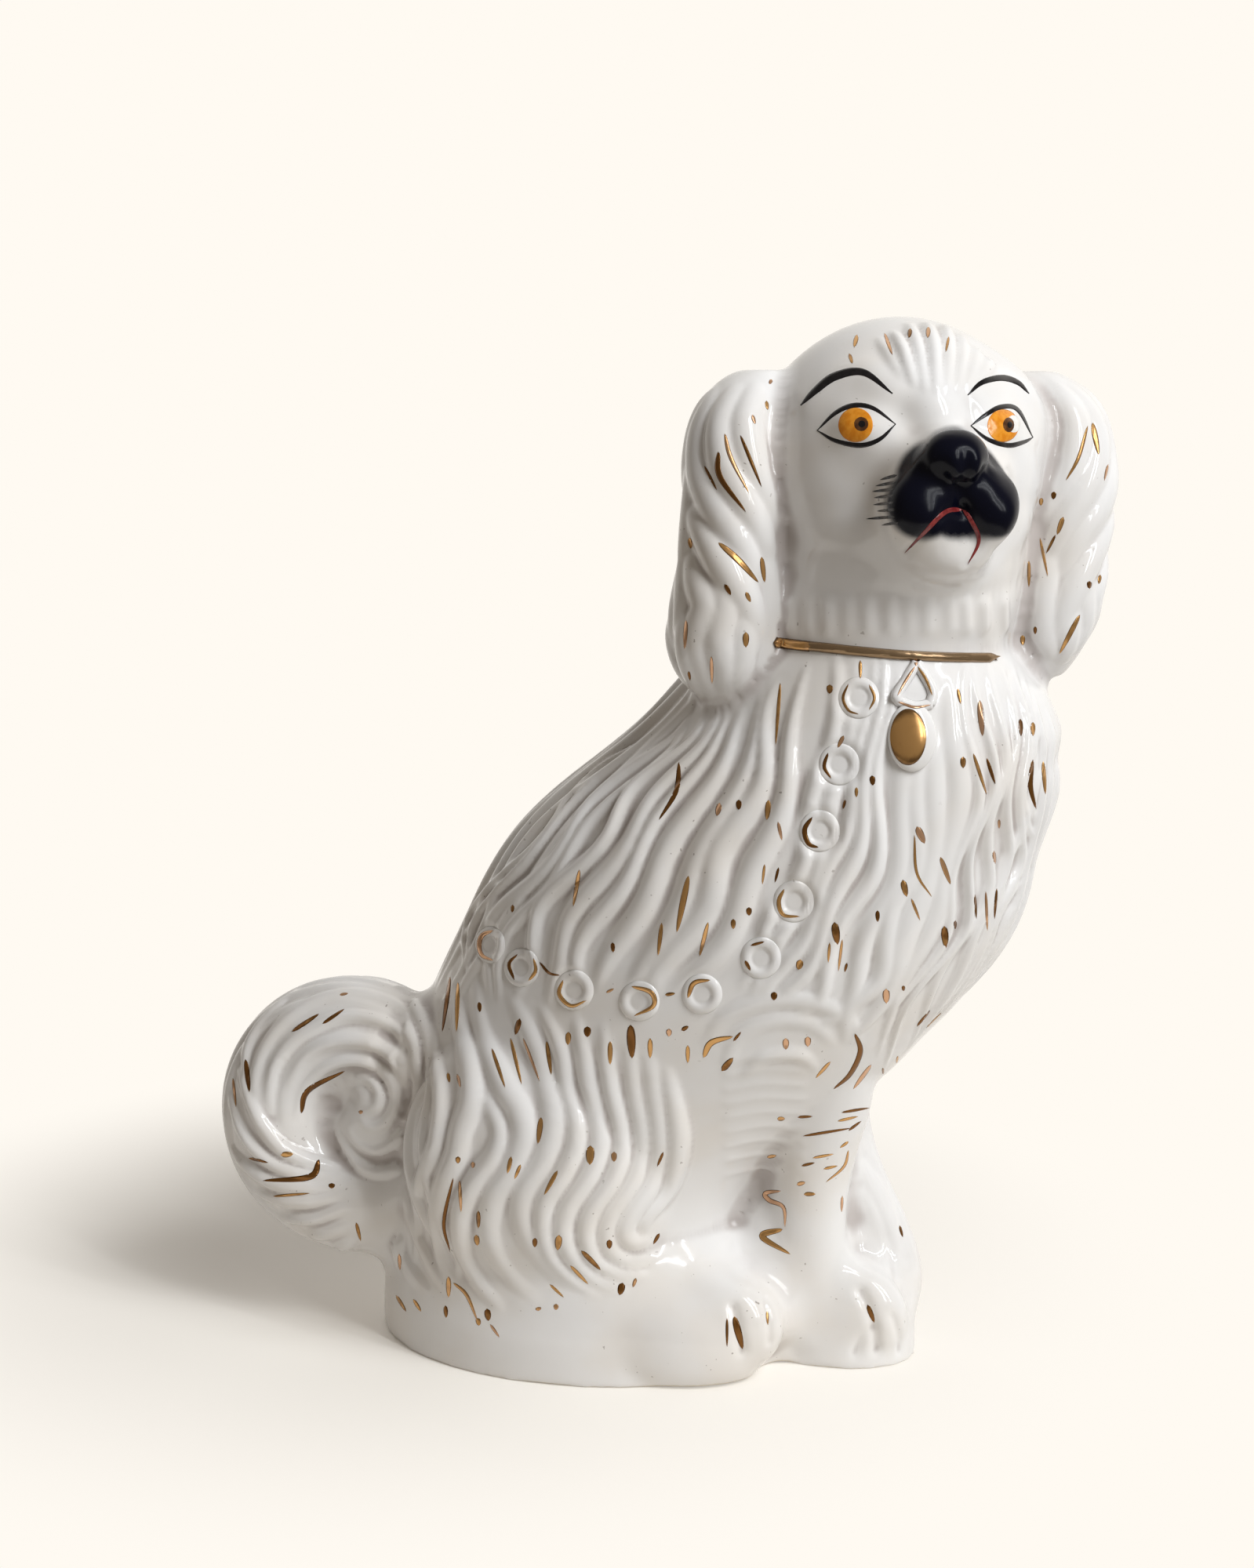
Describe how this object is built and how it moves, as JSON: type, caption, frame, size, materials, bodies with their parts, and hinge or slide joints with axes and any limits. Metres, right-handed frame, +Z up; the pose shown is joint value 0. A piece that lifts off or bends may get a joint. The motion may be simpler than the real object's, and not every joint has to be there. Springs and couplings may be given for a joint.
{
  "type": "seated dog figure",
  "caption": "Seated mantel dog in white-glazed earthenware, head turned to one side, with drooping ears, curled tail, collar, padlock and chain in relief and worn gilding.",
  "frame": {"origin": "on the flat underside, at the middle of the figure", "axes": "+Z up, +X the way the chest faces, -Y the show side that the face turns towards"},
  "size_m": [0.2864, 0.1213, 0.33],
  "materials": {
    "white_glaze": "glossy lead glaze over white earthenware",
    "gilding": "worn gilding over the glaze",
    "bare_clay": "wiped, thinly glazed underside"
  },
  "bodies": {
    "root": {"base_slab": "bare_clay", "body_near_half": "white_glaze", "body_far_half": "white_glaze", "near_foreleg": "white_glaze", "far_foreleg": "white_glaze", "tail": "white_glaze", "head_face_half": "white_glaze", "head_back_half": "white_glaze", "near_ear": "white_glaze", "far_ear": "white_glaze", "collar": "gilding", "padlock": "gilding", "chain_links": "white_glaze"}
  },
  "joints": []
}
